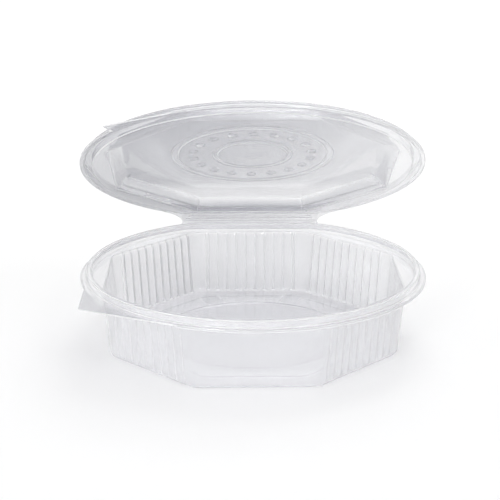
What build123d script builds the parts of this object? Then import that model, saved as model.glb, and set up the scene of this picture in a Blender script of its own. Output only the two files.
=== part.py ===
from build123d import *

import os
from math import acos, atan, cos, degrees, radians, sin, tan

# Meal container with a hinged lid, formed in one go from thin clear sheet.
# A round snap rim stands over an eight-sided tub with ribbed walls, and a shallow
# eight-sided lid folds over on a crease behind the rim.
# Sizes are millimetres, +Z is up, the crease is at +Y and the front at -Y.
# The origin is the middle of the tub's underside.

# Sheet and play
sheet = 0.6
fit_gap = 0.3  # between lid and tub when the lid is shut

# Round rim: a flat flange and a hollow snap bead
rim_radius = 95.0
flange_height = 38.0  # top face of the tub's flange
flange_width = 2.9
bead_width = 3.7
bead_height = 3.8  # above the flange
bead_draft = 6.0
bead_edge = 0.5  # bevel along its outer top edge
ledge_drop = 0.8  # ledge inside the bead, below the flange
hinge_ledge = 0.4  # ledge left where the bead runs straight, beside the hinge
straight_corner = 12.0  # bead's corner where the round part meets the straight part

# Tub walls, measured on their inside
corner_ledge = 2.3  # ledge left at a corner of the walls
wall_corner = 8.4
wall_draft = 5.0
foot_rise = 2.2  # slanted band round the foot of the walls
foot_inset = 1.6

# Upright ribs of the walls, pressed inwards
ribbed_sides = (1, 2, 3, 5, 7)  # counted anticlockwise from the side at +X
rib_pitch = 5.68
rib_width = 2.2  # at its foot, on the outside of the wall
rib_lean = 0.6  # of each flank
rib_depth = 0.9
rib_margin = 0.2

# Floor: a raised band between the foot of the walls and a round disc
band_inset = 11.5
disc_radius = 52.0
floor_step = 1.0

# Lid: an eight-sided dome. Over the ribbed walls it has two steps, over the plain ones a slope
mouth_margin = 2.8  # from the walls of the tub in to the dome's mouth
dome_depth = 8.3
dome_step_height = 3.0
dome_step = 1.4
dome_draft = 8.0
slope_inset = 6.6  # of each sloping side, from the mouth to the top

# Ring pressed up into the top of the lid
ring_depth = 0.5
ring_radius = 44.8
ring_width = 3.4

# Lug on one wall of the lid, which keeps nested containers apart
lug_side = 3
lug_length = 16.0
lug_height = 1.8
lug_depth = 1.2
lug_drop = 0.3  # below the step of the dome

# Hinge
web_reach = 4.3  # from the edge of the rim to the crease
web_half_width = 41.8
crease_gap = 0.4  # between the two halves of the web when it lies flat
fold_pitch = 3.6
fold_width = 1.2
fold_depth = 0.3
open_angle = 32.6  # how far the lid stands open as modelled

# Pull tabs at the front left, one on each half
tub_tab_reach = 14.6
tub_tab_angle = 214.3
tub_tab_root = 197.7
tub_tab_round = 2.5
lid_tab_reach = 7.4
lid_tab_angle = 221.1
lid_tab_root = 220.4
lid_tab_round = 1.0

# Sizes that follow: rim
half_turn = 22.5  # half the angle between two walls
bead_slope = tan(radians(bead_draft))
bead_outer = rim_radius - flange_width
bead_inner = bead_outer - bead_width
flange_under = flange_height - sheet
tub_height = flange_height + bead_height
ledge_height = flange_height - ledge_drop
ledge_under = ledge_height - sheet

# Sizes that follow: walls and floor
mouth_flat = (bead_inner - corner_ledge - wall_corner) * cos(radians(half_turn)) + wall_corner
hinge_cut = bead_inner - mouth_flat - hinge_ledge
wall_slope = tan(radians(wall_draft))
foot_sheet = sheet / cos(atan(foot_inset / foot_rise))


def wall_flat(height):
    """Distance from the middle to the inside of a wall, at a height."""
    upright = mouth_flat - wall_slope * (ledge_height - max(height, foot_rise))
    return upright - foot_inset * max(foot_rise - height, 0) / foot_rise


band_flat = wall_flat(0) - band_inset
rib_room = 2 * (wall_flat(sheet) - wall_corner) * tan(radians(half_turn))
inner_rib_width = rib_width + 2 * sheet
rib_count = 1 + int((rib_room - inner_rib_width - 2 * rib_margin) / rib_pitch)

# Sizes that follow: lid, given as heights of the shut lid
lid_under = flange_height + fit_gap
channel_under = tub_height + fit_gap
channel_top = channel_under + sheet
shoulder_under = ledge_height + fit_gap
shoulder_top = shoulder_under + sheet
dome_slope = tan(radians(dome_draft))
dome_mouth = mouth_flat - mouth_margin
dome_waist = dome_mouth - dome_slope * dome_step_height
step_under = shoulder_under + dome_step_height
panel_under = shoulder_under + dome_depth
panel_top = panel_under + sheet
side_slope = slope_inset / dome_depth
side_sheet = sheet / cos(atan(side_slope))

# Sizes that follow: hinge
crease_distance = rim_radius + web_reach
crease_height = flange_height + fit_gap / 2
web_edge = crease_distance - crease_gap / 2
web_radius = (web_half_width**2 + crease_distance**2 - rim_radius**2) / (
    2 * (rim_radius - web_half_width)
)
web_centre = web_half_width + web_radius
web_share = rim_radius / (rim_radius + web_radius)
web_root_x = web_centre * web_share
web_root_y = crease_distance * web_share


def tub_plane(height):
    """Level plane at a height above the tub's underside."""
    return Plane.XY.offset(height)


def lid_plane(height):
    """The same plane turned open with the lid about the crease."""
    turn = radians(open_angle)
    middle = (
        0,
        crease_distance * (1 - cos(turn)),
        crease_height + crease_distance * sin(turn),
    )
    shut_crease_plane = Plane(middle, x_dir=(1, 0, 0), z_dir=(0, sin(turn), cos(turn)))
    return shut_crease_plane.offset(height - crease_height)


def wall_point(side, out, along):
    """Point on one side of the walls: so far out from the middle, so far along the side."""
    angle = radians(2 * half_turn * side)
    return (out * cos(angle) - along * sin(angle), out * sin(angle) + along * cos(angle))


def ribbed_outline(height, flat, corner, width):
    """Section of the ribbed walls at a height."""
    half_side = (flat - corner) * tan(radians(half_turn))
    corner_reach = (flat - corner) / cos(radians(half_turn)) + corner
    with BuildSketch(tub_plane(height)) as section:
        with BuildLine():
            for side in range(8):
                here = wall_point(side, flat, -half_side)
                for number in range(rib_count if side in ribbed_sides else 0):
                    middle = (number - (rib_count - 1) / 2) * rib_pitch
                    start = wall_point(side, flat, middle - width / 2)
                    crest_start = wall_point(side, flat - rib_depth, middle - width / 2 + rib_lean)
                    crest_end = wall_point(side, flat - rib_depth, middle + width / 2 - rib_lean)
                    end = wall_point(side, flat, middle + width / 2)
                    Polyline(here, start, crest_start, crest_end, end)
                    here = end
                corner_start = wall_point(side, flat, half_side)
                corner_middle = wall_point(side + 0.5, corner_reach, 0)
                corner_end = wall_point(side + 1, flat, -half_side)
                Line(here, corner_start)
                ThreePointArc(corner_start, corner_middle, corner_end)
        make_face()
    return section.sketch


def band_outline(plane, flat):
    """Eight-sided outline of the floor's raised band."""
    with BuildSketch(plane) as section:
        RegularPolygon(radius=flat, side_count=8, major_radius=False, rotation=half_turn)
    return section.sketch


def rim_outline(plane, radius):
    """Round outline of the bead, cut straight beside the hinge."""
    with BuildSketch(plane) as section:
        Circle(radius)
        with Locations((0, -hinge_cut)):
            Rectangle(2 * radius, 2 * radius, mode=Mode.INTERSECT)
        fillet(section.vertices(), straight_corner + radius - bead_outer)
    return section.sketch


def bead_outlines(plane_at, low, high, radius, slope, edge=0.0):
    """Sections of a drafted block within the bead's outline, bevelled by edge at the top."""
    sections = [rim_outline(plane_at(low), radius)]
    if edge:
        below = high - edge
        sections.append(rim_outline(plane_at(below), radius - slope * (below - low)))
    sections.append(rim_outline(plane_at(high), radius - slope * (high - low) - edge))
    return sections


def dome_outline(height, flat, spread, side_spread):
    """Section of the dome: the sides at +X, -X and -Y slope, and the others stand steep."""
    side_flat = dome_mouth - side_slope * (height - shoulder_under) + side_spread
    with BuildSketch(lid_plane(height)) as section:
        RegularPolygon(
            radius=flat + spread, side_count=8, major_radius=False, rotation=half_turn
        )
        with Locations((0, -side_flat)):
            Rectangle(
                2 * side_flat,
                2 * side_flat + spread + mouth_flat,
                align=(Align.CENTER, Align.MIN),
                mode=Mode.INTERSECT,
            )
    return section.sketch


def dome_outlines(low, high, flat, spread=0.0, side_spread=0.0):
    """Two sections of one step of the dome, wider on the outside by the sheet's spread."""
    waist = flat - dome_slope * (high - low)
    return [
        dome_outline(low, flat, spread, side_spread),
        dome_outline(high, waist, spread, side_spread),
    ]


def tab_corners(reach, tip_angle, root_angle):
    """Corners of a pull tab: its root, its tip and where its long edge meets the rim."""
    tip_radius = rim_radius + reach
    meeting_angle = tip_angle + degrees(acos(rim_radius / tip_radius))
    places = ((rim_radius, root_angle), (tip_radius, tip_angle), (rim_radius, meeting_angle))
    return [(far * cos(radians(turn)), far * sin(radians(turn))) for far, turn in places]


def flange_outline(plane, hole_radius, tab, tip_round):
    """Flange of one half: outside the bead, with half of the hinge web and a pull tab."""
    with BuildSketch(plane) as section:
        Circle(rim_radius)
        with Locations((0, web_root_y)):
            Rectangle(
                2 * web_root_x, web_edge - web_root_y, align=(Align.CENTER, Align.MIN)
            )
        with Locations((-web_centre, crease_distance), (web_centre, crease_distance)):
            Circle(web_radius, mode=Mode.SUBTRACT)
        with BuildLine():
            Polyline((0, 0), *tab, close=True)
        make_face()
        fillet(section.vertices().sort_by_distance(tab[1])[0], tip_round)
        add(rim_outline(Plane.XY, hole_radius), mode=Mode.SUBTRACT)
    return section.sketch


def fold_outline(plane, width):
    """Narrow folds across half of the hinge web."""
    with BuildSketch(plane) as section:
        for number in (1, 2):
            with Locations((0, web_edge - number * fold_pitch)):
                Rectangle(2 * web_half_width, width)
    return section.sketch


def ring_outline(plane, spread):
    """Ring in the lid's top, wider on the outside by the sheet's spread."""
    with BuildSketch(plane) as section:
        Circle(ring_radius + spread)
        Circle(ring_radius - ring_width - spread, mode=Mode.SUBTRACT)
    return section.sketch


def lug_outline(plane, depth, length):
    """Lug of the lid, centred on the dome's wall and reaching a depth behind it."""
    place = (*wall_point(lug_side, dome_waist, 0), 0)
    with BuildSketch(plane) as section:
        with Locations(Location(place, (0, 0, 1), 2 * half_turn * lug_side)):
            Rectangle(2 * depth, length)
    return section.sketch


tub_tab = tab_corners(tub_tab_reach, tub_tab_angle, tub_tab_root)
lid_tab = tab_corners(lid_tab_reach, lid_tab_angle, lid_tab_root)

# Tub
with BuildPart() as tub:
    # Walls and floor, solid at first
    loft(
        [
            ribbed_outline(0, wall_flat(0) + foot_sheet, wall_corner + sheet, rib_width),
            ribbed_outline(foot_rise, wall_flat(foot_rise) + sheet, wall_corner + sheet, rib_width),
            ribbed_outline(ledge_height, mouth_flat + sheet, wall_corner + sheet, rib_width),
        ],
        ruled=True,
    )
    # Snap bead: a drafted block, the groove under it, and the ledge and well inside it
    loft(
        bead_outlines(tub_plane, flange_under, tub_height, bead_outer, bead_slope, bead_edge),
        ruled=True,
    )
    loft(
        bead_outlines(tub_plane, flange_under, tub_height - sheet, bead_outer - sheet, bead_slope),
        ruled=True,
        mode=Mode.SUBTRACT,
    )
    loft(
        bead_outlines(tub_plane, ledge_under, tub_height - sheet / 2, bead_inner + sheet, -bead_slope),
        ruled=True,
    )
    loft(
        bead_outlines(tub_plane, ledge_height, tub_height, bead_inner, -bead_slope),
        ruled=True,
        mode=Mode.SUBTRACT,
    )
    # Flange, and the folds in the hinge web
    extrude(
        flange_outline(tub_plane(flange_under), bead_outer - sheet / 2, tub_tab, tub_tab_round),
        amount=sheet,
    )
    extrude(fold_outline(tub_plane(flange_under), fold_width + sheet), amount=-fold_depth)
    extrude(
        fold_outline(tub_plane(flange_height), fold_width), amount=-fold_depth, mode=Mode.SUBTRACT
    )
    # Inside of the walls
    loft(
        [
            ribbed_outline(sheet, wall_flat(sheet), wall_corner, inner_rib_width),
            ribbed_outline(foot_rise, wall_flat(foot_rise), wall_corner, inner_rib_width),
            ribbed_outline(ledge_height, mouth_flat, wall_corner, inner_rib_width),
        ],
        ruled=True,
        mode=Mode.SUBTRACT,
    )
    # Raised band of the floor, and the round disc inside it that stands on the table
    extrude(band_outline(tub_plane(sheet), band_flat), amount=floor_step)
    extrude(band_outline(tub_plane(0), band_flat - sheet), amount=floor_step, mode=Mode.SUBTRACT)
    with BuildSketch(tub_plane(0)):
        Circle(disc_radius)
    extrude(amount=floor_step + sheet)
    with BuildSketch(tub_plane(sheet)):
        Circle(disc_radius - sheet)
    extrude(amount=floor_step, mode=Mode.SUBTRACT)

# Lid, made shut and placed on planes that are turned open about the crease
with BuildPart() as lid:
    # Channel that snaps over the bead, and the shoulder inside it
    loft(
        bead_outlines(
            lid_plane, lid_under, channel_top, bead_outer + fit_gap + sheet, bead_slope, bead_edge
        ),
        ruled=True,
    )
    loft(
        bead_outlines(lid_plane, lid_under, channel_under, bead_outer + fit_gap, bead_slope),
        ruled=True,
        mode=Mode.SUBTRACT,
    )
    loft(
        bead_outlines(
            lid_plane, shoulder_under, channel_top - sheet / 2, bead_inner - fit_gap, -bead_slope
        ),
        ruled=True,
    )
    loft(
        bead_outlines(
            lid_plane, shoulder_top, channel_top, bead_inner - fit_gap - sheet, -bead_slope
        ),
        ruled=True,
        mode=Mode.SUBTRACT,
    )
    # Flange, and the folds in the hinge web
    extrude(
        flange_outline(
            lid_plane(lid_under), bead_outer + fit_gap + sheet / 2, lid_tab, lid_tab_round
        ),
        amount=sheet,
    )
    extrude(fold_outline(lid_plane(lid_under + sheet), fold_width + sheet), amount=fold_depth)
    extrude(
        fold_outline(lid_plane(lid_under), fold_width), amount=fold_depth, mode=Mode.SUBTRACT
    )
    # Outside of the dome and its lug
    loft(
        dome_outlines(shoulder_under, step_under + sheet, dome_mouth, sheet, side_sheet),
        ruled=True,
    )
    loft(
        dome_outlines(step_under, panel_top, dome_waist - dome_step, sheet, side_sheet),
        ruled=True,
    )
    lug_under = step_under - lug_drop - lug_height
    extrude(
        lug_outline(lid_plane(lug_under - sheet), lug_depth + sheet, lug_length + 2 * sheet),
        amount=lug_height + 2 * sheet,
    )
    # Inside of the dome and its lug
    loft(
        dome_outlines(shoulder_under, step_under, dome_mouth),
        ruled=True,
        mode=Mode.SUBTRACT,
    )
    loft(
        dome_outlines(step_under, panel_under, dome_waist - dome_step),
        ruled=True,
        mode=Mode.SUBTRACT,
    )
    extrude(
        lug_outline(lid_plane(lug_under), lug_depth, lug_length),
        amount=lug_height,
        mode=Mode.SUBTRACT,
    )
    # Ring in the top
    extrude(ring_outline(lid_plane(panel_top), sheet / 3), amount=ring_depth)
    extrude(ring_outline(lid_plane(panel_under), 0), amount=ring_depth, mode=Mode.SUBTRACT)

tub.part.label = "tub"
lid.part.label = "lid"

os.makedirs("parts", exist_ok=True)
export_step(tub.part, "parts/tub.step")
export_step(lid.part, "parts/lid.step")
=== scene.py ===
from math import acos, atan2, cos, degrees, radians, sin, sqrt, tan

import bpy
import numpy as np
from mathutils import Matrix, Vector


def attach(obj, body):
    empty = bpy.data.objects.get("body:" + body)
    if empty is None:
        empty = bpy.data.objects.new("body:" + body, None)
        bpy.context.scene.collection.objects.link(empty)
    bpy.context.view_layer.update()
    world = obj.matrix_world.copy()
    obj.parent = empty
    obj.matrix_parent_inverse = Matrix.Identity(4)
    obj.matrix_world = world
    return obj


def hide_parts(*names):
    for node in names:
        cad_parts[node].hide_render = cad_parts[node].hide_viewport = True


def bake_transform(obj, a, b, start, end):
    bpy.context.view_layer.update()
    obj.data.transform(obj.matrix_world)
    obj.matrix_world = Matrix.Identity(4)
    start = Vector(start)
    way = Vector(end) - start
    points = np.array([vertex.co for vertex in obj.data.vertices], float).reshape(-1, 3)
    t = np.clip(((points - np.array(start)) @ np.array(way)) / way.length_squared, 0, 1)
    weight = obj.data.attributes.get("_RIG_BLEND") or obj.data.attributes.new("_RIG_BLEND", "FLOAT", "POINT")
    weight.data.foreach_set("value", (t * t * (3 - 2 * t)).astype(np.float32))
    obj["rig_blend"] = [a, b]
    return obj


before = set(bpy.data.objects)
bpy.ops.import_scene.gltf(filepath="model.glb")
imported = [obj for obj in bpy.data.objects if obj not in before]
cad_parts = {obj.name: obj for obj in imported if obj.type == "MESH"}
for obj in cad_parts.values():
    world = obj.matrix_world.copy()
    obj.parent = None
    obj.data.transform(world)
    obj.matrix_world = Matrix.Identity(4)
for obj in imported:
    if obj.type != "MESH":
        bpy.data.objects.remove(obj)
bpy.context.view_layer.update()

# Meal container with a hinged lid, formed in one go from thin clear sheet.
# The two halves are each one skin: rings of points laid out from the middle to the edge
# over the same sizes as the CAD solids, with the soft bends that forming gives, then
# thickened to the sheet. Sizes are millimetres and become metres in the mesh.

MM = 0.001
hair = 1e-9  # so that a point on the end of a line counts as on it
least_sine = 0.1  # keeps a straight line's formula finite where it isn't used

# Sheet and play
sheet = 0.6
fit_gap = 0.3

# Round rim
rim_radius = 95.0
flange_height = 38.0
flange_width = 2.9
turned_edge = 0.7
bead_width = 3.7
bead_height = 3.8
bead_draft = 6.0
ledge_drop = 0.8
hinge_ledge = 0.4
straight_corner = 12.0

# Tub walls and floor
corner_ledge = 2.3
wall_corner = 8.4
wall_draft = 5.0
foot_rise = 2.2
foot_inset = 1.6
band_inset = 11.5
band_corner = 2.0
disc_radius = 52.0
floor_step = 1.0
floor_step_run = 1.4
wall_bend = 0.8

# Upright ribs
rib_strength = {1: 0.65, 2: 1.0, 3: 1.0, 5: 0.45, 7: 0.45}  # share of the depth, by side
ribbed_sides = tuple(rib_strength)
rib_pitch = 5.68
rib_count = 10
rib_width = 3.3
rib_depth = 0.9
rib_run_out = (0.75, 2.0)  # heights between which the ribs grow out of the floor
rib_fade = (35.0, 36.9)  # heights between which they fade under the ledge

# Lid dome, its pattern and its lug
mouth_margin = 2.8
dome_depth = 8.3
dome_step_height = 3.0
dome_step = 1.4
dome_draft = 8.0
dome_corner = 1.2
sloping_sides = (0, 4, 6)  # side 0 faces +X, and the sides are counted anticlockwise
slope_inset = 6.6
step_fade = 1.0
slope_softness = 2.6
panel_crown = 1.0
crown_radius = 68.0
pressing_depth = 0.5
ring_radius = 44.8
ring_width = 3.4
pressing_edge = 0.6
pip_count = 18
pip_radius = 2.0
pip_circle = 33.0
inner_ring_radius = 22.0
inner_ring_width = 2.4
lug_side = 3
lug_length = 16.0
lug_height = 1.8
lug_depth = 1.2
lug_drop = 0.3

# Bends from a radius of 3 mm down to 0.6 mm get a painted white highlight
loose_bend, tight_bend = 1 / 3.0, 1 / 0.6
crease_highlight = 0.8
sharp_angle = radians(50)

# Hinge and pull tabs
web_reach = 4.3
web_half_width = 41.8
crease_gap = 0.4
fold_pitch = 3.6
fold_width = 1.2
fold_depth = 0.3
# Section of a fold: how far aside in fold widths, and how deep as a share of its depth
fold_section = ((-0.95, 0), (-0.55, 0.5), (0, 1), (0.55, 0.5), (0.95, 0))
fold_ends = radians(66.5), radians(69.0)  # where the folds fade in, as angles from the middle
flat_margin = 0.8  # flat sheet kept inside the flange's edge
turned_bend = 0.35
plain_edge = 0.6  # run of the flange's last bend where its edge isn't turned
crease_rows = 25
crease_contact = 0.01
open_angle = 32.6
tub_tab_reach, tub_tab_angle, tub_tab_root, tub_tab_round = 14.6, 214.3, 197.7, 2.5
lid_tab_reach, lid_tab_angle, lid_tab_root, lid_tab_round = 7.4, 221.1, 220.4, 1.0

# Floor under the container, and where its painted glow starts and is full, in metres
floor_reach = 6.0
floor_drop = 0.2
glow_start, glow_full, glow = 0.25, 2.2, 0.3

# Sizes that follow
half_turn = radians(22.5)
bead_slope = tan(radians(bead_draft))
wall_slope = tan(radians(wall_draft))
dome_slope = tan(radians(dome_draft))
bead_outer = rim_radius - flange_width
bead_inner = bead_outer - bead_width
tub_height = flange_height + bead_height
ledge_height = flange_height - ledge_drop
mouth_flat = (bead_inner - corner_ledge - wall_corner) * cos(half_turn) + wall_corner
hinge_cut = bead_inner - mouth_flat - hinge_ledge
lid_under = flange_height + fit_gap
channel_under = tub_height + fit_gap
shoulder_under = ledge_height + fit_gap
step_under = shoulder_under + dome_step_height
panel_under = shoulder_under + dome_depth
dome_mouth = mouth_flat - mouth_margin
dome_waist = dome_mouth - dome_slope * dome_step_height
panel_flat = dome_waist - dome_step - dome_slope * (panel_under - step_under)
side_slope = slope_inset / dome_depth
crease_distance = rim_radius + web_reach
crease_height = flange_height + fit_gap / 2
web_edge = crease_distance - crease_gap / 2
web_radius = (web_half_width**2 + crease_distance**2 - rim_radius**2) / (
    2 * (rim_radius - web_half_width)
)
web_centre = web_half_width + web_radius


def wall_flat(height):
    """Distance from the middle to the inside of a wall of the tub, at a height."""
    upright = mouth_flat - wall_slope * (ledge_height - max(height, foot_rise))
    return upright - foot_inset * max(foot_rise - height, 0) / foot_rise


def smooth(value, low, high):
    """Soft step from 0 at low to 1 at high."""
    share = np.clip((value - low) / (high - low), 0.0, 1.0)
    return share * share * (3.0 - 2.0 * share)


def nearest_side(turns, flats, sides=range(8)):
    """How far out the nearest of some sides of an octagon lies at each angle."""
    least_facing, nowhere = 0.3, 1e3
    outs = []
    for side in sides:
        facing = np.cos(turns - 2 * half_turn * side)
        out = flats[side] / np.maximum(facing, least_facing)
        outs.append(np.where(facing > least_facing, out, nowhere))
    return np.min(outs, axis=0)


def eight_sided(turns, flats, corner):
    """How far out an eight-sided outline with round corners lies at each angle."""
    flats = np.broadcast_to(flats, 8)
    out = nearest_side(turns, flats)
    for side in range(8):
        before, after = flats[side] - corner, flats[(side + 1) % 8] - corner
        beside = (after - before * cos(2 * half_turn)) / sin(2 * half_turn)
        local = (turns - 2 * half_turn * side + radians(180)) % radians(360) - radians(180)
        start = atan2(beside, before + corner)
        end = atan2(beside + corner * sin(2 * half_turn), before + corner * cos(2 * half_turn))
        along = before * np.cos(local) + beside * np.sin(local)
        bend = along + np.sqrt(np.maximum(corner**2 - before**2 - beside**2 + along**2, 0.0))
        out = np.where((local > start) & (local < end), bend, out)
    return out


def corner_turn(flats, side):
    """Angle at which the corner after a side of an octagon lies."""
    beside = (flats[(side + 1) % 8] - flats[side] * cos(2 * half_turn)) / sin(2 * half_turn)
    return 2 * half_turn * side + atan2(beside, flats[side])


def dome_flats(height, steep):
    """Distances of the dome's eight sides: three slope down to its mouth, five stand steep."""
    sloping = dome_mouth - side_slope * (height - shoulder_under)
    return [sloping if side in sloping_sides else steep for side in range(8)]


def bead_line(turns, radius):
    """How far out the bead's outline lies: round, but straight beside the hinge."""
    corner = straight_corner + radius - bead_outer
    level = radius - hinge_cut
    bend_y = level - corner
    bend_x = sqrt((radius - corner) ** 2 - bend_y**2)
    folded = np.arctan2(np.sin(turns), np.abs(np.cos(turns)))
    along = bend_x * np.cos(folded) + bend_y * np.sin(folded)
    bend = along + np.sqrt(np.maximum(corner**2 - bend_x**2 - bend_y**2 + along**2, 0.0))
    straight = level / np.maximum(np.sin(folded), least_sine)
    out = np.where(folded > atan2(bend_y, bend_x), bend, radius)
    return np.where(folded >= atan2(level, bend_x), straight, out)


class PullTab:
    """A pull tab of the flange: two straight edges and a round tip."""

    def __init__(self, reach, tip_angle, root_angle, tip_round):
        far = rim_radius + reach
        meeting = tip_angle + degrees(acos(rim_radius / far))
        corners = ((rim_radius, root_angle), (far, tip_angle), (rim_radius, meeting))
        self.root, self.tip, self.meeting = [
            np.array((distance * cos(radians(turn)), distance * sin(radians(turn))))
            for distance, turn in corners
        ]
        self.start, self.end = radians(root_angle), radians(meeting)
        to_root = (self.root - self.tip) / np.linalg.norm(self.root - self.tip)
        to_meeting = (self.meeting - self.tip) / np.linalg.norm(self.meeting - self.tip)
        half = acos(float(to_root @ to_meeting)) / 2
        middle = (to_root + to_meeting) / np.linalg.norm(to_root + to_meeting)
        self.tip_round = tip_round
        self.bend = self.tip + middle * tip_round / sin(half)
        ends = [self.tip + way * tip_round / tan(half) for way in (to_root, to_meeting)]
        self.bend_start, self.bend_end = [atan2(y, x) % radians(360) for x, y in ends]

    def angles(self):
        """Angles at which the outline needs a point."""
        return [self.start, *np.linspace(self.bend_start, self.bend_end, 5), self.end]

    def line(self, turns):
        """How far out the tab's edge lies at each angle, or the rim's radius elsewhere."""
        way = np.stack((np.cos(turns), np.sin(turns)))
        outs = []
        for a, b in ((self.root, self.tip), (self.tip, self.meeting)):
            edge = b - a
            outs.append((a[0] * edge[1] - a[1] * edge[0]) / (way[0] * edge[1] - way[1] * edge[0]))
        along = self.bend @ way
        room = self.tip_round**2 - self.bend @ self.bend + along**2
        bend = along + np.sqrt(np.maximum(room, 0.0))
        out = np.where(turns > self.bend_end, outs[1], bend)
        out = np.where(turns < self.bend_start, outs[0], out)
        inside = (turns >= self.start - hair) & (turns <= self.end + hair)
        return np.where(inside, out, rim_radius)


def flange_line(turns, tab):
    """How far out the edge of the flange lies, with the tab and half of the hinge web."""
    folded = np.arctan2(np.sin(turns), np.abs(np.cos(turns)))
    along = web_centre * np.cos(folded) + crease_distance * np.sin(folded)
    room = along**2 - web_centre**2 - crease_distance**2 + web_radius**2
    neck = along - np.sqrt(np.maximum(room, 0.0))
    out = np.where(folded > atan2(crease_distance, web_centre), neck, tab.line(turns))
    on_web = folded >= atan2(web_edge, web_half_width) - hair
    return np.where(on_web, web_edge / np.maximum(np.sin(folded), least_sine), out)


def turned_share(turns, tab):
    """1 where the flange's edge is turned, 0 on the tab and the hinge web."""
    ramp = radians(1.6)
    folded = np.arctan2(np.sin(turns), np.abs(np.cos(turns)))
    neck_start = atan2(crease_distance, web_centre)
    off_web = 1.0 - smooth(folded, neck_start - ramp, neck_start)
    off_tab = np.maximum(
        1.0 - smooth(turns, tab.start - ramp, tab.start), smooth(turns, tab.end, tab.end + ramp)
    )
    return off_web * off_tab


def angles_round(steps_of_side, wanted):
    """Angles of the rings' points: even steps on each side, and the wanted angles."""
    least_gap = radians(0.12)
    turns = []
    for side in range(8):
        count = steps_of_side(side)
        turns += [radians(45.0) * (side - 0.5 + number / count) for number in range(count)]
    turns = np.array(turns) % radians(360)
    wanted = np.array(wanted) % radians(360)
    far_off = np.abs(turns[:, None] - wanted[None, :]).min(axis=1) > least_gap
    return np.sort(np.concatenate((turns[far_off], wanted)))


def soften(stations, turns):
    """Rings (out, height, angle) from stations: each soft station becomes a bend.

    A station is (out, height, softness, rows), and may end with angles of its own.
    """
    most_of_run = 0.45
    plain = [
        np.stack(np.broadcast_arrays(*station[:2], station[4] if station[4:] else turns))
        for station in stations
    ]
    rings = []
    for number, here in enumerate(plain):
        softness, rows = stations[number][2:4]
        if not np.any(softness):
            rings.append(here)
            continue
        ends = []
        for there in (plain[number - 1], plain[number + 1]):
            run = there - here
            length = np.maximum(np.hypot(run[0], run[1]), 1e-6)
            ends.append(here + run * np.minimum(softness / length, most_of_run))
        for share in np.linspace(0.0, 1.0, rows):
            rings.append(
                (1 - share) ** 2 * ends[0] + 2 * share * (1 - share) * here + share**2 * ends[1]
            )
    return rings


def skin(name, middle_height, rings, upwards):
    """Mesh of rings round a middle point. Its sheet will lie behind the faces."""
    count = len(rings[0][0])
    points = [(0.0, 0.0, middle_height)]
    for out, height, turns in rings:
        points.extend(zip(out * np.cos(turns), out * np.sin(turns), height))
    faces = [(0, 1 + here, 1 + (here + 1) % count) for here in range(count)]
    for ring in range(len(rings) - 1):
        low, high = 1 + ring * count, 1 + (ring + 1) * count
        for here in range(count):
            after = (here + 1) % count
            faces.append((low + here, high + here, high + after, low + after))
    if not upwards:
        faces = [face[::-1] for face in faces]
    mesh = bpy.data.meshes.new(name)
    mesh.from_pydata([tuple(value * MM for value in point) for point in points], [], faces)
    piece = bpy.data.objects.new(name, mesh)
    bpy.context.scene.collection.objects.link(piece)
    return piece


def attribute(piece, name, kind, values):
    """Stores a value for each point of a mesh."""
    field = "vector" if kind == "FLOAT_VECTOR" else "value"
    layer = piece.data.attributes.new(name, kind, "POINT")
    layer.data.foreach_set(field, np.ascontiguousarray(values, np.float32).ravel())


def add(tree, kind, inputs=None, **settings):
    """Adds a node to a tree, with its settings, and sets or links its inputs."""
    node = tree.nodes.new(kind)
    for name, value in settings.items():
        setattr(node, name, value)
    for key, value in (inputs or {}).items():
        if isinstance(value, bpy.types.NodeSocket):
            tree.links.new(value, node.inputs[key])
        else:
            node.inputs[key].default_value = value
    return node


def new_shape_tree(name, sizes):
    """Geometry tree with a mesh, a material and named sizes as its inputs."""
    tree = bpy.data.node_groups.new(name, "GeometryNodeTree")
    tree.interface.new_socket("Mesh", in_out="INPUT", socket_type="NodeSocketGeometry")
    tree.interface.new_socket("Material", in_out="INPUT", socket_type="NodeSocketMaterial")
    for size in sizes:
        tree.interface.new_socket(size, in_out="INPUT", socket_type="NodeSocketFloat")
    tree.interface.new_socket("Mesh", in_out="OUTPUT", socket_type="NodeSocketGeometry")
    return tree, add(tree, "NodeGroupInput").outputs


def close_shape_tree(tree, source, offset):
    """Moves the mesh's points by the offset and ends the tree."""
    moved = add(tree, "GeometryNodeSetPosition", {"Geometry": source["Mesh"], "Offset": offset})
    real = add(tree, "GeometryNodeRealizeInstances", {"Geometry": moved.outputs[0]})
    painted = add(
        tree,
        "GeometryNodeSetMaterial",
        {"Geometry": real.outputs[0], "Material": source["Material"]},
    )
    add(tree, "NodeGroupOutput", {"Mesh": painted.outputs[0]})


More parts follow.
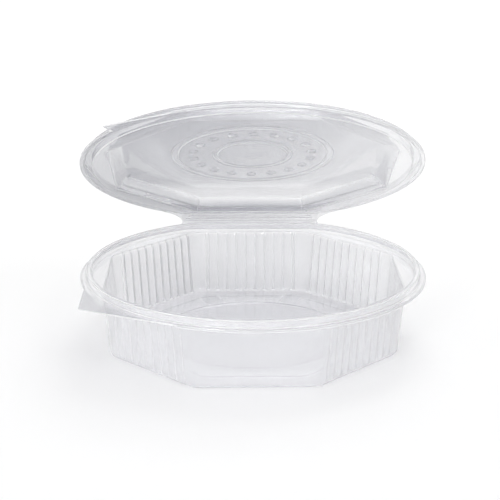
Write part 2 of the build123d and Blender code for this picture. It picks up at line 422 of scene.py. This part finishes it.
def mark_bends(mesh):
    """Stores at each point how tightly the sheet bends: 0 on a flat, 1 on a tight bend."""
    faces, loops, edges = len(mesh.polygons), len(mesh.loops), len(mesh.edges)
    normals, middles = np.empty(faces * 3), np.empty(faces * 3)
    mesh.polygons.foreach_get("normal", normals)
    mesh.polygons.foreach_get("center", middles)
    normals, middles = normals.reshape(-1, 3), middles.reshape(-1, 3)
    edge_of_loop, sides = np.empty(loops, int), np.empty(faces, int)
    ends = np.empty(edges * 2, int)
    mesh.loops.foreach_get("edge_index", edge_of_loop)
    mesh.polygons.foreach_get("loop_total", sides)
    mesh.edges.foreach_get("vertices", ends)
    ends = ends.reshape(-1, 2)
    face_of_loop = np.repeat(np.arange(faces), sides)
    order = np.argsort(edge_of_loop, kind="stable")
    ordered = edge_of_loop[order]
    twin = np.flatnonzero(ordered[1:] == ordered[:-1])
    one, other = face_of_loop[order[twin]], face_of_loop[order[twin + 1]]
    turned = np.arccos(np.clip((normals[one] * normals[other]).sum(axis=1), -1.0, 1.0))
    least_apart = 0.05
    apart = np.linalg.norm(middles[one] - middles[other], axis=1) / MM
    apart = np.maximum(apart, least_apart)
    tightness = smooth(turned / apart, loose_bend, tight_bend)
    pairs = ends[ordered[twin]]
    bends = np.zeros(len(mesh.vertices))
    for end in (0, 1):
        np.maximum.at(bends, pairs[:, end], tightness)
    layer = mesh.attributes.new("bend", "FLOAT", "POINT")
    layer.data.foreach_set("value", bends.astype(np.float32))


def press(piece, tree, material, sizes):
    """Runs a shape tree on a skin, gives it the sheet's thickness and keeps the plain mesh."""
    shaping = piece.modifiers.new("pressed", "NODES")
    shaping.node_group = tree
    for socket in tree.interface.items_tree:
        if socket.in_out == "INPUT" and socket.name in sizes:
            shaping[socket.identifier] = float(sizes[socket.name])
        elif socket.in_out == "INPUT" and socket.name == "Material":
            shaping[socket.identifier] = material
    wall = piece.modifiers.new("sheet", "SOLIDIFY")
    wall.thickness = sheet * MM
    wall.offset = -1.0
    wall.use_even_offset = True
    wall.use_quality_normals = True
    graph = bpy.context.evaluated_depsgraph_get()
    made = bpy.data.meshes.new_from_object(piece.evaluated_get(graph))
    piece.modifiers.clear()
    piece.data = made
    made.name = piece.name
    for spare in [layer.name for layer in made.attributes]:
        if spare in ("along", "rib_share", "inward"):
            made.attributes.remove(made.attributes[spare])
    made.polygons.foreach_set("use_smooth", [True] * len(made.polygons))
    made.set_sharp_from_angle(angle=sharp_angle)
    mark_bends(made)


def linear(code):
    """sRGB hex colour as linear values."""
    parts = [int(code[start : start + 2], 16) / 255 for start in (1, 3, 5)]
    return [p / 12.92 if p <= 0.04045 else ((p + 0.055) / 1.055) ** 2.4 for p in parts] + [1.0]


def formed_polypropylene(name):
    """Clear polypropylene sheet, vacuum formed: milky, glossy, with a slight ripple, painted highlights on
    its tight bends and painted shade in places.
    """
    material = bpy.data.materials.new(name)
    material.use_nodes = True
    tree = material.node_tree
    tree.nodes.clear()
    place = add(tree, "ShaderNodeTexCoord").outputs["Object"]
    # Stretching leaves broad ripples about 14 mm apart in the sheet
    ripple = add(
        tree,
        "ShaderNodeTexNoise",
        {"Vector": place, "Scale": 70.0, "Detail": 1.0, "Roughness": 0.4},
    )
    # The mould's blasted face leaves a grain finer than 1 mm; drawn at 1.2 mm so that it shows
    grain = add(
        tree,
        "ShaderNodeTexNoise",
        {"Vector": place, "Scale": 850.0, "Detail": 2.0, "Roughness": 0.5},
    )
    haze = add(
        tree,
        "ShaderNodeMapRange",
        {
            "Value": grain.outputs[0],
            "From Min": 0.3,
            "From Max": 0.7,
            "To Min": 0.05,
            "To Max": 0.1,
        },
    )
    broad = add(
        tree,
        "ShaderNodeBump",
        {"Height": ripple.outputs[0], "Strength": 0.18, "Distance": 0.0006},
    )
    fine = add(
        tree,
        "ShaderNodeBump",
        {
            "Height": grain.outputs[0],
            "Strength": 0.05,
            "Distance": 0.00005,
            "Normal": broad.outputs[0],
        },
    )
    # Tight bends are painted white, as lines of highlight, and partly as the haze that bending gives
    bend = add(tree, "ShaderNodeAttribute", attribute_name="bend").outputs["Fac"]
    # Where the sheet isn't drawn thin, and where shade is painted, it is greyer and hazier
    drawn_and_shade = add(tree, "ShaderNodeAttribute", attribute_name="drawn_and_shade").outputs["Fac"]
    highlight_and_shade = add(tree, "ShaderNodeMath", {0: drawn_and_shade, 1: bend}, operation="MAXIMUM")
    # The grey end of the tint is painted shade as well as thick sheet; the near white end is the sheet's own
    # tint and the painted highlight of the bends
    tint = add(
        tree,
        "ShaderNodeMix",
        {"Factor": highlight_and_shade.outputs[0], "A": linear("#B6B7BD"), "B": linear("#FAFAFB")},
        data_type="RGBA",
    )
    flat_clear = add(tree, "ShaderNodeMapRange", {"Value": drawn_and_shade, "To Min": 0.72, "To Max": 0.8})
    clear = add(
        tree,
        "ShaderNodeMapRange",
        {"Value": bend, "To Min": flat_clear.outputs[0], "To Max": 0.3},
    )
    shader = add(
        tree,
        "ShaderNodeBsdfPrincipled",
        {
            "Base Color": tint.outputs["Result"],
            "Roughness": haze.outputs[0],
            "IOR": 1.49,
            "Transmission Weight": clear.outputs[0],
            "Normal": fine.outputs[0],
        },
    )
    # The sheet takes little light away, so what lies behind it is lit almost as if it were bare
    through = add(tree, "ShaderNodeBsdfTransparent", {"Color": linear("#DEDEE0")})
    lamp_ray = add(tree, "ShaderNodeLightPath").outputs["Is Shadow Ray"]
    lit = add(
        tree, "ShaderNodeMixShader", {0: lamp_ray, 1: shader.outputs[0], 2: through.outputs[0]}
    )
    add(tree, "ShaderNodeOutputMaterial", {"Surface": lit.outputs[0]})
    return material


clear_sheet = formed_polypropylene("formed polypropylene sheet")

# Tub
tub_tab = PullTab(tub_tab_reach, tub_tab_angle, tub_tab_root, tub_tab_round)
lid_tab = PullTab(lid_tab_reach, lid_tab_angle, lid_tab_root, lid_tab_round)
web_corner = atan2(web_edge, web_half_width)
web_angles = [web_corner, radians(180) - web_corner]

# Columns of points on the walls: seven on each rib, one between two ribs, and more at the
# corners. Plain sides and the lid have even steps.
plain_side_steps, lid_side_steps = 50, 46
beside_ribs = 0.3
corner_columns = (19.5, 20.1, 20.6, 21.1, 21.6, 22.05)
rib_reach = (rib_count - 1) / 2 * rib_pitch + rib_width / 2 + beside_ribs
rib_columns = [-rib_reach, rib_reach]
for number in range(rib_count):
    middle = (number - (rib_count - 1) / 2) * rib_pitch
    rib_columns += [middle + rib_width * share / 6 for share in range(-3, 4)]
    if number:
        rib_columns.append(middle - rib_pitch / 2)
side_turns = [atan2(column, mouth_flat) for column in rib_columns]
side_turns += [way * radians(turn) for way in (-1, 1) for turn in corner_columns]
rib_turns = [2 * half_turn * side + turn for side in ribbed_sides for turn in side_turns]
tub_turns = angles_round(
    lambda side: 1 if side in ribbed_sides else plain_side_steps,
    rib_turns + tub_tab.angles() + web_angles,
)


def wall_station(flat, height, softness=0, rows=1):
    """Station on the tub's walls, turned so that each column of points runs along the ribs."""
    local = (tub_turns + half_turn) % (2 * half_turn) - half_turn
    edge, edge_here = atan2(rib_reach, mouth_flat), atan2(rib_reach, flat)
    straight = np.arctan(mouth_flat * np.tan(local) / flat)
    corner_share = (np.abs(local) - edge) / (half_turn - edge)
    bent = np.sign(local) * (edge_here + corner_share * (half_turn - edge_here))
    turns = tub_turns - local + np.where(np.abs(local) < edge, straight, bent)
    return (eight_sided(turns, flat, wall_corner), height, softness, rows, turns)


def flange_stations(turns, tab, base, height, way):
    """Stations from the bead's foot over the hinge folds to the turned edge."""
    edge = flange_line(turns, tab)
    turned = turned_share(turns, tab)
    folded = np.arctan2(np.sin(turns), np.abs(np.cos(turns)))
    in_web = smooth(folded, *fold_ends)
    base_level = base.min()
    stations = []
    for number in (2, 1):
        middle = web_edge - number * fold_pitch
        for aside, depth in fold_section:
            share = (middle + aside * fold_width - base_level) / (web_edge - base_level)
            out = base + share * (edge - flat_margin - base)
            stations.append((out, height - fold_depth * depth * in_web * way, 0, 1))
    stations.append((edge - plain_edge * (1 - turned), height, turned_bend, 3))
    stations.append((edge, height - way * (sheet + turned_edge) * turned, 0, 1))
    return stations


# Stations from the middle of the floor to the bead: out, height, softness of the bend, rows
floor_rows = (8.0, 34.0)
floor_bend, foot_bend, bead_foot_bend, tub_bead_bend = 0.5, 0.9, 0.4, 0.7
wall_rows = (4.0, 7.0, 14.0, 24.0, 32.0, 34.6, 35.6)
band_flat = wall_flat(0) - band_inset
high_floor = sheet + floor_step
bead_foot = bead_line(tub_turns, bead_outer - bead_slope * sheet)
bead_top_inner = bead_line(tub_turns, bead_inner + bead_slope * (tub_height - ledge_height))
bead_top_outer = bead_line(tub_turns, bead_outer - bead_slope * (bead_height + sheet))
tub_stations = [
    *((row, sheet, 0, 1) for row in floor_rows),
    (disc_radius - floor_step_run, sheet, floor_bend, 3),
    (disc_radius, high_floor, floor_bend, 3),
    (eight_sided(tub_turns, band_flat, band_corner), high_floor, floor_bend, 3),
    (eight_sided(tub_turns, band_flat + floor_step_run, band_corner), sheet, floor_bend, 3),
    wall_station(wall_flat(sheet), sheet, foot_bend, 3),
    wall_station(wall_flat(foot_rise), foot_rise, wall_bend, 3),
    *(wall_station(wall_flat(height), height) for height in wall_rows),
    wall_station(mouth_flat, ledge_height, wall_bend, 4),
    (bead_line(tub_turns, bead_inner), ledge_height, bead_foot_bend, 5),
    (bead_top_inner, tub_height, tub_bead_bend, 7),
    (bead_top_outer, tub_height, tub_bead_bend, 7),
    (bead_foot, flange_height, bead_foot_bend, 5),
]
tub_stations += flange_stations(tub_turns, tub_tab, bead_foot, flange_height, 1)
tub_rings = soften(tub_stations, tub_turns)
tub_sheet = skin("tub_sheet", sheet, tub_rings, True)

# Where each point lies along its side, which way is in, how much rib there is, and how far the sheet is
# drawn, with painted shade:
# 1 is thin and pale. The tab and the disc stay thicker and are painted darker as shade as well; the back
# walls are painted darker as shade.
tab_thickness_and_shade, disc_thickness_and_shade, back_wall_shade = 0.4, 0.12, 0.25
disc_edge, tab_edge = 6.0, 1.0
sides = np.floor((tub_turns + half_turn) / (2 * half_turn)) % 8
ribbed = np.array([rib_strength.get(side, 0.0) for side in sides])
facing = sides * 2 * half_turn
inward = np.stack((-np.cos(facing), -np.sin(facing), np.zeros_like(facing)), axis=1)
along, share, direction, drawn_and_shade = [[0.0]], [[0.0]], [[(0.0, 0.0, 1.0)]], [[1.0]]
mouth_line = eight_sided(tub_turns, mouth_flat, wall_corner) + 0.01
wall_start = band_flat + 3.0
for out, height, turns in tub_rings:
    local = (turns + half_turn) % (2 * half_turn) - half_turn
    on_wall = (out <= mouth_line) & (out > wall_start)
    rise = smooth(height, *rib_run_out) * (1.0 - smooth(height, *rib_fade))
    along.append(out * np.sin(local) * MM)
    share.append(ribbed * on_wall * rise)
    direction.append(inward)
    tab = smooth(out, rim_radius - tab_edge, rim_radius + tab_edge) * (np.sin(turns) < 0)
    disc = 1.0 - smooth(out, disc_radius - disc_edge, disc_radius + disc_edge)
    back = np.maximum(np.sin(turns), 0.0) * on_wall * rise
    drawn_and_shade.append(1.0 - tab_thickness_and_shade * tab - disc_thickness_and_shade * disc - back_wall_shade * back)
attribute(tub_sheet, "along", "FLOAT", np.concatenate(along))
attribute(tub_sheet, "rib_share", "FLOAT", np.concatenate(share))
attribute(tub_sheet, "inward", "FLOAT_VECTOR", np.concatenate(direction))
attribute(tub_sheet, "drawn_and_shade", "FLOAT", np.concatenate(drawn_and_shade))

rib_sizes = {
    "Rib pitch": rib_pitch * MM,
    "Rib count": rib_count,
    "Rib width": rib_width * MM,
    "Rib depth": rib_depth * MM,
}
ribs, given = new_shape_tree("upright ribs", rib_sizes)
here = add(ribs, "GeometryNodeInputNamedAttribute", {"Name": "along"}, data_type="FLOAT")
much = add(ribs, "GeometryNodeInputNamedAttribute", {"Name": "rib_share"}, data_type="FLOAT")
way_in = add(ribs, "GeometryNodeInputNamedAttribute", {"Name": "inward"}, data_type="FLOAT_VECTOR")
last = add(ribs, "ShaderNodeMath", {0: given["Rib count"], 1: 1.0}, operation="SUBTRACT")
half_last = add(ribs, "ShaderNodeMath", {0: last.outputs[0], 1: 0.5}, operation="MULTIPLY")
pitches = add(
    ribs, "ShaderNodeMath", {0: here.outputs[0], 1: given["Rib pitch"]}, operation="DIVIDE"
)
place = add(
    ribs, "ShaderNodeMath", {0: pitches.outputs[0], 1: half_last.outputs[0]}, operation="ADD"
)
nearest = add(ribs, "ShaderNodeMath", {0: place.outputs[0]}, operation="ROUND")
not_under = add(ribs, "ShaderNodeMath", {0: nearest.outputs[0], 1: 0.0}, operation="MAXIMUM")
rib = add(
    ribs, "ShaderNodeMath", {0: not_under.outputs[0], 1: last.outputs[0]}, operation="MINIMUM"
)
off = add(ribs, "ShaderNodeMath", {0: place.outputs[0], 1: rib.outputs[0]}, operation="SUBTRACT")
off_size = add(ribs, "ShaderNodeMath", {0: off.outputs[0]}, operation="ABSOLUTE")
aside = add(
    ribs, "ShaderNodeMath", {0: off_size.outputs[0], 1: given["Rib pitch"]}, operation="MULTIPLY"
)
half_width = add(ribs, "ShaderNodeMath", {0: given["Rib width"], 1: 0.5}, operation="MULTIPLY")
crest = add(
    ribs,
    "ShaderNodeMapRange",
    {
        "Value": aside.outputs[0],
        "From Min": 0.0,
        "From Max": half_width.outputs[0],
        "To Min": given["Rib depth"],
        "To Max": 0.0,
    },
    interpolation_type="SMOOTHSTEP",
)
amount = add(
    ribs, "ShaderNodeMath", {0: crest.outputs[0], 1: much.outputs[0]}, operation="MULTIPLY"
)
push = add(
    ribs,
    "ShaderNodeVectorMath",
    {0: way_in.outputs[0], "Scale": amount.outputs[0]},
    operation="SCALE",
)
close_shape_tree(ribs, given, push.outputs[0])
press(tub_sheet, ribs, clear_sheet, rib_sizes)

# Lid, laid out shut
mouth_flats = dome_flats(shoulder_under, dome_mouth)
top_flats = dome_flats(panel_under, panel_flat)
corner_margins, corner_spacing = (radians(1.0), radians(1.1)), radians(0.3)
near_corners = []
for side in range(8):
    ends = sorted((corner_turn(mouth_flats, side), corner_turn(top_flats, side)))
    start, end = ends[0] - corner_margins[0], ends[1] + corner_margins[1]
    near_corners += list(np.arange(start, end, corner_spacing))
lid_turns = angles_round(
    lambda side: lid_side_steps, lid_tab.angles() + web_angles + near_corners
)
# Rows of the panel: a few on the flats, four at each edge of a ring and eleven over the pips
pattern_rows = [6.0, 14.0, 27.0, 39.0, 52.0, 63.0]
for edge in (
    inner_ring_radius - inner_ring_width,
    inner_ring_radius,
    ring_radius - ring_width,
    ring_radius,
):
    pattern_rows += [edge + aside for aside in (-0.7, -0.3, 0.1, 0.5)]
pip_room = pip_radius + pressing_edge
pattern_rows += list(np.linspace(pip_circle - pip_room, pip_circle + pip_room, 11))


def dome_line(height, steep):
    """Outline of the dome at a height."""
    return eight_sided(lid_turns, dome_flats(height, steep), dome_corner)


# The step fades out where a sloping side takes over from a stepped one
step_spread, step_bend, shoulder_bend, channel_foot_bend = 1.5, 0.45, 0.6, 0.5
steep_sides = [side for side in range(8) if side not in sloping_sides]
step_flats = dome_flats(step_under, dome_waist)
lead = nearest_side(lid_turns, step_flats, steep_sides) - nearest_side(
    lid_turns, step_flats, sloping_sides
)
fade = step_fade * smooth(lead, -step_spread, step_spread)
inner_step = dome_line(step_under, dome_waist - dome_step) - side_slope * fade
lid_stations = [
    (row, panel_under + panel_crown * (1 - (row / crown_radius) ** 2), 0, 1)
    for row in sorted(pattern_rows)
]
lid_stations += [
    (dome_line(panel_under, panel_flat), panel_under, wall_bend + slope_softness * fade, 6),
    (inner_step, step_under + fade, step_bend, 3),
    (dome_line(step_under, dome_waist), step_under, step_bend, 3),
]
lug_top = step_under - lug_drop
lug_foot = lug_top - lug_height
lug_rows = [lug_top + aside for aside in (0.15, -0.15, -0.5)]
lug_rows += [lug_foot + aside for aside in (0.5, 0.15, -0.15)]
for height in lug_rows:
    flat = dome_mouth - dome_slope * (height - shoulder_under)
    lid_stations.append((dome_line(height, flat), height, 0, 1))
channel_inner = bead_inner - fit_gap
channel_top_inner = channel_inner + bead_slope * (channel_under - shoulder_under)
channel_top_outer = bead_outer + fit_gap - bead_slope * (channel_under - lid_under)
lid_foot = bead_line(lid_turns, bead_outer + fit_gap)
lid_stations += [
    (dome_line(shoulder_under, dome_mouth), shoulder_under, shoulder_bend, 3),
    (bead_line(lid_turns, channel_inner), shoulder_under, channel_foot_bend, 5),
    (bead_line(lid_turns, channel_top_inner), channel_under, shoulder_bend, 7),
    (bead_line(lid_turns, channel_top_outer), channel_under, shoulder_bend, 7),
    (lid_foot, lid_under, bead_foot_bend, 5),
]
lid_stations += flange_stations(lid_turns, lid_tab, lid_foot, lid_under, -1)
lid_rings = soften(lid_stations, lid_turns)

# The lug is a shallow pocket pushed out of one wall
lug_edge, below_step = 0.2, 0.05
lug_start, lug_end = lug_length / 2 - 0.3, lug_length / 2 + 0.5
lug_local = lid_turns - 2 * half_turn * lug_side
for ring in lid_rings:
    out, height = ring[0], ring[1]
    beside = np.abs(out * np.sin(lug_local))
    window = (1.0 - smooth(beside, lug_start, lug_end)) * (np.abs(lug_local) < half_turn)
    level = smooth(height, lug_foot - lug_edge, lug_foot + lug_edge) * (
        1.0 - smooth(height, lug_top - lug_edge, lug_top + lug_edge)
    )
    wall = (out < dome_mouth / cos(half_turn)) & (height < step_under - below_step)
    ring[0] = out + lug_depth * window * level * wall
lid_sheet = skin("lid_sheet", panel_under, lid_rings, False)

# Painted shade and light on the lid, which is kept greyer than the tub as it lies in shade: the panel is
# painted darker at the front and left and lighter beside the hinge. The front and left walls and the right
# of the rim are painted lighter, as lit.
middle_shade_level, lighter_to_right, lighter_to_hinge = 0.5, 0.0028, 0.0025
hinge_strip_light, hinge_strip_start, hinge_strip_end = 0.5, 42.0, 66.0
lighter_front_and_left, hinge_wall_shade = 0.45, 0.28
rim_shade_level, rim_lighter_to_right = 0.72, 0.27
panel_end, panel_start = panel_under - 1.4, panel_under - 0.3
wall_end = (0.99, 1.01)  # as shares of how far out the dome's mouth lies
drawn_and_shade = [[middle_shade_level]]
for out, height, turns in lid_rings:
    right, to_hinge = np.cos(turns), np.sin(turns)
    lit_from_right = middle_shade_level + lighter_to_right * out * right
    strip = smooth(out * to_hinge, hinge_strip_start, hinge_strip_end)
    panel = lit_from_right + lighter_to_hinge * out * to_hinge + hinge_strip_light * strip
    front_and_left = np.maximum(-to_hinge, 0.0) + np.maximum(-right, 0.0)
    # The wall beside the hinge is painted darker, as shade under the panel
    wall = lit_from_right + lighter_front_and_left * front_and_left - hinge_wall_shade * np.maximum(to_hinge, 0.0)
    rim = rim_shade_level + rim_lighter_to_right * right
    past_panel = 1.0 - smooth(height, panel_end, panel_start)
    past_wall = smooth(out / dome_line(shoulder_under, dome_mouth), *wall_end)
    mixed = panel * (1 - past_panel) + wall * (past_panel - past_wall) + rim * past_wall
    drawn_and_shade.append(np.clip(mixed, 0.0, 1.0))
attribute(lid_sheet, "drawn_and_shade", "FLOAT", np.concatenate(drawn_and_shade))

# Pattern of the lid: a ring, an inner ring and a circle of pips, all pressed up
pattern_sizes = {
    "Ring radius": (ring_radius - ring_width / 2) * MM,
    "Ring width": ring_width * MM,
    "Inner ring radius": (inner_ring_radius - inner_ring_width / 2) * MM,
    "Inner ring width": inner_ring_width * MM,
    "Pip count": pip_count,
    "Pip circle": pip_circle * MM,
    "Pip radius": pip_radius * MM,
    "Depth": pressing_depth * MM,
    "Soft edge": pressing_edge * MM,
}
pattern, given = new_shape_tree("pressed lid pattern", pattern_sizes)
spot = add(pattern, "GeometryNodeInputPosition")
parts = add(pattern, "ShaderNodeSeparateXYZ", {0: spot.outputs[0]}).outputs
flat_spot = add(pattern, "ShaderNodeCombineXYZ", {"X": parts["X"], "Y": parts["Y"]})
radius = add(
    pattern, "ShaderNodeVectorMath", {0: flat_spot.outputs[0]}, operation="LENGTH"
).outputs["Value"]
bearing = add(pattern, "ShaderNodeMath", {0: parts["Y"], 1: parts["X"]}, operation="ARCTAN2")
spacing = add(
    pattern, "ShaderNodeMath", {0: radians(360), 1: given["Pip count"]}, operation="DIVIDE"
)
rest = add(
    pattern,
    "ShaderNodeMath",
    {0: bearing.outputs[0], 1: spacing.outputs[0]},
    operation="FLOORED_MODULO",
)
half_spacing = add(pattern, "ShaderNodeMath", {0: spacing.outputs[0], 1: 0.5}, operation="MULTIPLY")
swing = add(
    pattern,
    "ShaderNodeMath",
    {0: rest.outputs[0], 1: half_spacing.outputs[0]},
    operation="SUBTRACT",
)
across = add(pattern, "ShaderNodeMath", {0: swing.outputs[0]}, operation="SINE")
ahead = add(pattern, "ShaderNodeMath", {0: swing.outputs[0]}, operation="COSINE")
pip_across = add(
    pattern, "ShaderNodeMath", {0: across.outputs[0], 1: radius}, operation="MULTIPLY"
)
pip_ahead = add(pattern, "ShaderNodeMath", {0: ahead.outputs[0], 1: radius}, operation="MULTIPLY")
pip_off = add(
    pattern,
    "ShaderNodeMath",
    {0: pip_ahead.outputs[0], 1: given["Pip circle"]},
    operation="SUBTRACT",
)
pip_spot = add(
    pattern, "ShaderNodeCombineXYZ", {"X": pip_across.outputs[0], "Y": pip_off.outputs[0]}
)
pip_distance = add(
    pattern, "ShaderNodeVectorMath", {0: pip_spot.outputs[0]}, operation="LENGTH"
).outputs["Value"]
soft_half = add(pattern, "ShaderNodeMath", {0: given["Soft edge"], 1: 0.5}, operation="MULTIPLY")
pressed = None
for middle, size, share in (
    ("Ring radius", "Ring width", 0.5),
    ("Inner ring radius", "Inner ring width", 0.5),
    (None, "Pip radius", 1.0),
):
    if middle:
        gap = add(pattern, "ShaderNodeMath", {0: radius, 1: given[middle]}, operation="SUBTRACT")
        distance = add(
            pattern, "ShaderNodeMath", {0: gap.outputs[0]}, operation="ABSOLUTE"
        ).outputs[0]
    else:
        distance = pip_distance
    limit = add(pattern, "ShaderNodeMath", {0: given[size], 1: share}, operation="MULTIPLY")
    inner = add(
        pattern,
        "ShaderNodeMath",
        {0: limit.outputs[0], 1: soft_half.outputs[0]},
        operation="SUBTRACT",
    )
    outer = add(
        pattern, "ShaderNodeMath", {0: limit.outputs[0], 1: soft_half.outputs[0]}, operation="ADD"
    )
    form = add(
        pattern,
        "ShaderNodeMapRange",
        {
            "Value": distance,
            "From Min": inner.outputs[0],
            "From Max": outer.outputs[0],
            "To Min": given["Depth"],
            "To Max": 0.0,
        },
        interpolation_type="SMOOTHSTEP",
    ).outputs[0]
    if pressed is not None:
        form = add(pattern, "ShaderNodeMath", {0: form, 1: pressed}, operation="MAXIMUM").outputs[0]
    pressed = form
lift = add(pattern, "ShaderNodeCombineXYZ", {"Z": pressed})
close_shape_tree(pattern, given, lift.outputs[0])
press(lid_sheet, pattern, clear_sheet, pattern_sizes)

# The lid is turned open about the crease
crease = Vector((0, crease_distance, crease_height)) * MM
opening = Matrix.Rotation(-radians(open_angle), 4, "X")
lid_sheet.data.transform(Matrix.Translation(crease) @ opening @ Matrix.Translation(-crease))

for piece, body in ((tub_sheet, "tub"), (lid_sheet, "lid")):
    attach(piece, body)
    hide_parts(body)

# Crease: the sheet goes round the outside of the hinge line, from one web to the other
middle_of_sheet = fit_gap / 2 + sheet / 2
last_turn = radians(90 - open_angle)
bend_turns = np.linspace(radians(-90), last_turn, crease_rows)
crease_line = [
    (middle_of_sheet * cos(turn), middle_of_sheet * sin(turn), turn) for turn in bend_turns
]
lead_in = crease_gap / 2 - crease_contact
crease_line.insert(0, (-lead_in, -middle_of_sheet, bend_turns[0]))
crease_line.append(
    (
        crease_line[-1][0] - lead_in * sin(last_turn),
        crease_line[-1][1] + lead_in * cos(last_turn),
        last_turn,
    )
)
crease_points = []
for side in (-1, 1):
    for out, up, turn in crease_line:
        for aside in (-1, 1):
            crease_points.append(
                (
                    side * web_half_width,
                    crease_distance + out + aside * sheet / 2 * cos(turn),
                    crease_height + up + aside * sheet / 2 * sin(turn),
                )
            )
rows = len(crease_line)
crease_faces = []
for row in range(rows - 1):
    inside, outside, far = 2 * row, 2 * row + 1, 2 * rows
    crease_faces.append((outside, outside + 2, far + outside + 2, far + outside))
    crease_faces.append((inside, far + inside, far + inside + 2, inside + 2))
    crease_faces.append((inside, inside + 2, outside + 2, outside))
    crease_faces.append((far + inside, far + outside, far + outside + 2, far + inside + 2))
last, far = 2 * rows - 2, 2 * rows
crease_faces += [(0, 1, far + 1, far), (last, last + far, last + far + 1, last + 1)]
crease_mesh = bpy.data.meshes.new("crease_strip")
crease_mesh.from_pydata(
    [tuple(value * MM for value in point) for point in crease_points], [], crease_faces
)
crease_mesh.polygons.foreach_set("use_smooth", [True] * len(crease_mesh.polygons))
crease_mesh.set_sharp_from_angle(angle=sharp_angle)
crease_mesh.materials.append(clear_sheet)
crease_strip = bpy.data.objects.new("crease_strip", crease_mesh)
bpy.context.scene.collection.objects.link(crease_strip)
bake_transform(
    crease_strip,
    "tub",
    "lid",
    start=(0, crease_distance * MM, (crease_height - middle_of_sheet) * MM),
    end=(
        0,
        (crease_distance + middle_of_sheet * cos(last_turn)) * MM,
        (crease_height + middle_of_sheet * sin(last_turn)) * MM,
    ),
)
# The crease is pressed thin, and is painted white as a highlight
attribute(crease_strip, "drawn_and_shade", "FLOAT", np.ones(len(crease_points)))
attribute(crease_strip, "bend", "FLOAT", np.full(len(crease_points), crease_highlight))

# Floor
floor_mesh = bpy.data.meshes.new("floor")
floor_corners = ((-1, -1), (1, -1), (1, 1), (-1, 1))
floor_mesh.from_pydata(
    [(x * floor_reach, y * floor_reach, -floor_drop * MM) for x, y in floor_corners],
    [],
    [(0, 1, 2, 3)],
)
floor = bpy.data.objects.new("floor", floor_mesh)
bpy.context.scene.collection.objects.link(floor)
# White studio paper: matt, so that it takes a soft shadow and no reflection
paper = bpy.data.materials.new("white studio paper")
paper.use_nodes = True
sweep = paper.node_tree
sweep.nodes.clear()
matt = add(sweep, "ShaderNodeBsdfDiffuse", {"Color": linear("#FAFAFA")})
# Far from the object, where the softboxes don't reach, the paper glows a little with painted light, so that
# it stays evenly white
spot = add(sweep, "ShaderNodeTexCoord").outputs["Object"]
away = add(sweep, "ShaderNodeVectorMath", {0: spot}, operation="LENGTH").outputs["Value"]
extra = add(
    sweep,
    "ShaderNodeMapRange",
    {"Value": away, "From Min": glow_start, "From Max": glow_full, "To Min": 0.0, "To Max": glow},
)
paper_glow = add(sweep, "ShaderNodeEmission", {"Strength": extra.outputs[0]})
lit_paper = add(sweep, "ShaderNodeAddShader", {0: matt.outputs[0], 1: paper_glow.outputs[0]})
add(sweep, "ShaderNodeOutputMaterial", {"Surface": lit_paper.outputs[0]})
floor_mesh.materials.append(paper)

# World: plain white behind the object, and a dimmer room that lights it
world = bpy.data.worlds.new("studio")
bpy.context.scene.world = world
world.use_nodes = True
sky = world.node_tree
sky.nodes.clear()
ray = add(sky, "ShaderNodeLightPath").outputs
seen = add(
    sky,
    "ShaderNodeMath",
    {0: ray["Is Camera Ray"], 1: ray["Is Transmission Ray"]},
    operation="MAXIMUM",
)
direction = add(sky, "ShaderNodeTexCoord").outputs["Generated"]
up = add(sky, "ShaderNodeSeparateXYZ", {0: direction}).outputs["Z"]
level = add(
    sky,
    "ShaderNodeMapRange",
    {"Value": up, "From Min": 0.0, "From Max": 0.5, "To Min": 0.37, "To Max": 0.78},
)
room = add(
    sky, "ShaderNodeBackground", {"Color": linear("#FFFFFF"), "Strength": level.outputs[0]}
)
backdrop = add(sky, "ShaderNodeBackground", {"Color": linear("#FFFFFF"), "Strength": 1.0})
shown = add(
    sky,
    "ShaderNodeMixShader",
    {0: seen.outputs[0], 1: room.outputs[0], 2: backdrop.outputs[0]},
)
add(sky, "ShaderNodeOutputWorld", {"Surface": shown.outputs[0]})


def softbox(name, place, target, size, power):
    """Rectangular studio lamp that faces a point, in metres and watts."""
    lamp = bpy.data.lights.new(name, "AREA")
    lamp.shape = "RECTANGLE"
    lamp.size, lamp.size_y = size
    lamp.energy = power
    holder = bpy.data.objects.new(name, lamp)
    holder.location = place
    holder.rotation_mode = "QUATERNION"
    holder.rotation_quaternion = (Vector(target) - Vector(place)).to_track_quat("-Z", "Y")
    bpy.context.scene.collection.objects.link(holder)


softbox("overhead softbox", (0.25, 0.7, 1.5), (0, 0, 0.03), size=(0.6, 0.5), power=4.9)
softbox("front key softbox", (0.85, -1.1, 1.15), (0, 0, 0.03), size=(0.4, 0.4), power=3.0)
softbox("low fill light", (-0.7, -1.4, 0.35), (0, 0, 0.06), size=(0.35, 0.2), power=6.5)
softbox("back strip light", (0.1, 1.4, 1.05), (0, -0.05, 0.04), size=(0.9, 0.12), power=2.5)

# Camera
camera_data = bpy.data.cameras.new("camera")
camera_data.lens = 99.02
camera_data.sensor_width = 36.0
camera = bpy.data.objects.new("camera", camera_data)
camera.location = (-0.0153, -0.7239, 0.2729)
camera.rotation_mode = "QUATERNION"
camera.rotation_quaternion = Vector((0.01796, 0.95556, -0.29426)).to_track_quat("-Z", "Y")
bpy.context.scene.collection.objects.link(camera)
bpy.context.scene.camera = camera
bpy.context.scene.view_settings.view_transform = "Standard"
